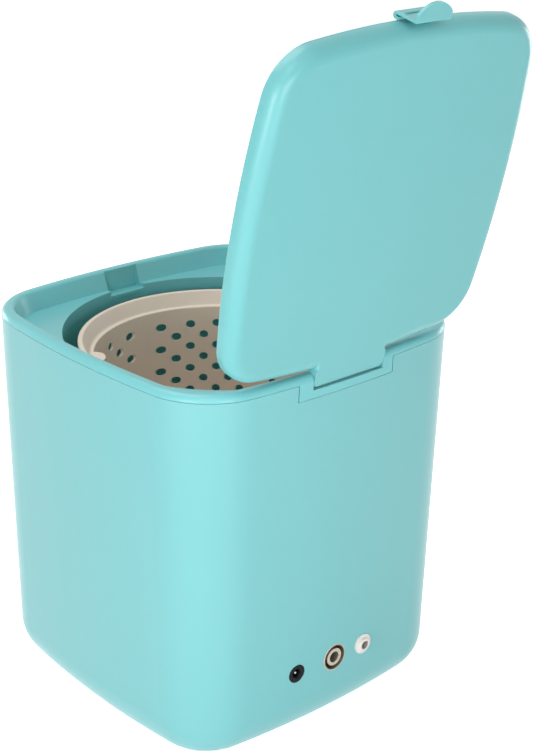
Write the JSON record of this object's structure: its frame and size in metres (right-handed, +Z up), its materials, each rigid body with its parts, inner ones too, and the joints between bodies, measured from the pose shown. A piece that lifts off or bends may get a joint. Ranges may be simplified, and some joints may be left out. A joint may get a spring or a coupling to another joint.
{
  "type": "washing machine",
  "caption": "Small countertop tub washer with a spinning perforated basket, a hinged lid with a spring latch, a push button, and drain, inlet and power ports.",
  "frame": {"origin": "on the floor under the middle of the casing", "axes": "+Z up; -Y is the front, where the lid latches; +Y is the rear, with the hinge and the ports; +X is the right-hand side seen from the front"},
  "size_m": [0.2398, 0.2951, 0.4828],
  "materials": {
    "casing": "satin gloss, clean",
    "basket": "satin",
    "grey_plastic": "matt",
    "black_plastic": "satin",
    "steel": "plain",
    "plated_steel": "zinc plated",
    "windings": "laminated steel with copper windings",
    "brass": "plain",
    "rubber": "matt",
    "hose": "satin",
    "lead": "satin",
    "board": "satin",
    "button": "gloss",
    "button_ring": "frosted",
    "drain_plastic": "satin",
    "white_plastic": "satin"
  },
  "bodies": {
    "cabinet": {"base_cover": "casing", "base_screws": "steel", "bearing_housing": "grey_plastic", "board_screws": "steel", "bracket_posts": "brass", "bracket_screws": "steel", "button_ring": "button_ring", "button_switch": "black_plastic", "control_board": "board", "dc_jack": "black_plastic", "dc_jack_nut": "black_plastic", "dc_jack_pin": "steel", "drain_hose": "hose", "drain_nut": "grey_plastic", "drain_outlet": "drain_plastic", "drive_belt": "rubber", "foot_front_left": "rubber", "foot_front_right": "rubber", "foot_rear_left": "rubber", "foot_rear_right": "rubber", "hinge_pin": "steel", "housing_screws": "steel", "inlet_fitting": "white_plastic", "inlet_hose": "hose", "inlet_nut": "grey_plastic", "jack_lead": "lead", "lower_bearing": "steel", "motor_bracket": "plated_steel", "motor_can": "plated_steel", "motor_end_cap": "black_plastic", "motor_lead": "lead", "motor_screws": "steel", "outer_shell": "casing", "shaft_seal": "rubber", "top_frame": "casing", "tub_gasket": "rubber", "tub_screws": "steel", "upper_bearing": "steel", "wash_tub": "casing"},
    "lid": {"lid_cover": "casing", "lid_liner": "casing", "lid_screws": "steel"},
    "latch": {"lid_latch": "casing"},
    "basket": {"spin_basket": "basket", "drive_hub": "grey_plastic", "drive_shaft": "steel", "basket_nut": "basket", "driven_pulley": "grey_plastic", "pulley_nut": "steel"},
    "motor_rotor": {"motor_shaft": "steel", "motor_armature": "windings", "motor_pulley": "grey_plastic"},
    "button": {"power_button": "button"}
  },
  "joints": [
    {"name": "lid_hinge", "type": "hinge", "parent": "cabinet", "child": "lid", "pos_m": [0, 0.115, 0.2555], "axis": [1, 0, 0], "range_deg": [0, 102.83]},
    {"name": "latch_flex", "type": "hinge", "parent": "lid", "child": "latch", "pos_m": [0, 0.15705, 0.47446], "axis": [-1, 0, 0], "range_deg": [0, 5], "stiffness_Nm_per_rad": 0.05},
    {"name": "basket_spin", "type": "hinge", "parent": "cabinet", "child": "basket", "pos_m": [0, 0, 0.1], "axis": [0, 0, 1], "continuous": true},
    {"name": "motor_spin", "type": "hinge", "parent": "cabinet", "child": "motor_rotor", "pos_m": [-0.04384, -0.04384, 0.04], "axis": [0, 0, 1], "continuous": true},
    {"name": "button_press", "type": "slide", "parent": "cabinet", "child": "button", "axis": [0, 1, 0], "range_m": [0, 0.0008], "stiffness_N_per_m": 300}
  ],
  "couplings": [
    {"joint": "motor_spin", "follows": "basket_spin", "ratio": 3.767}
  ]
}
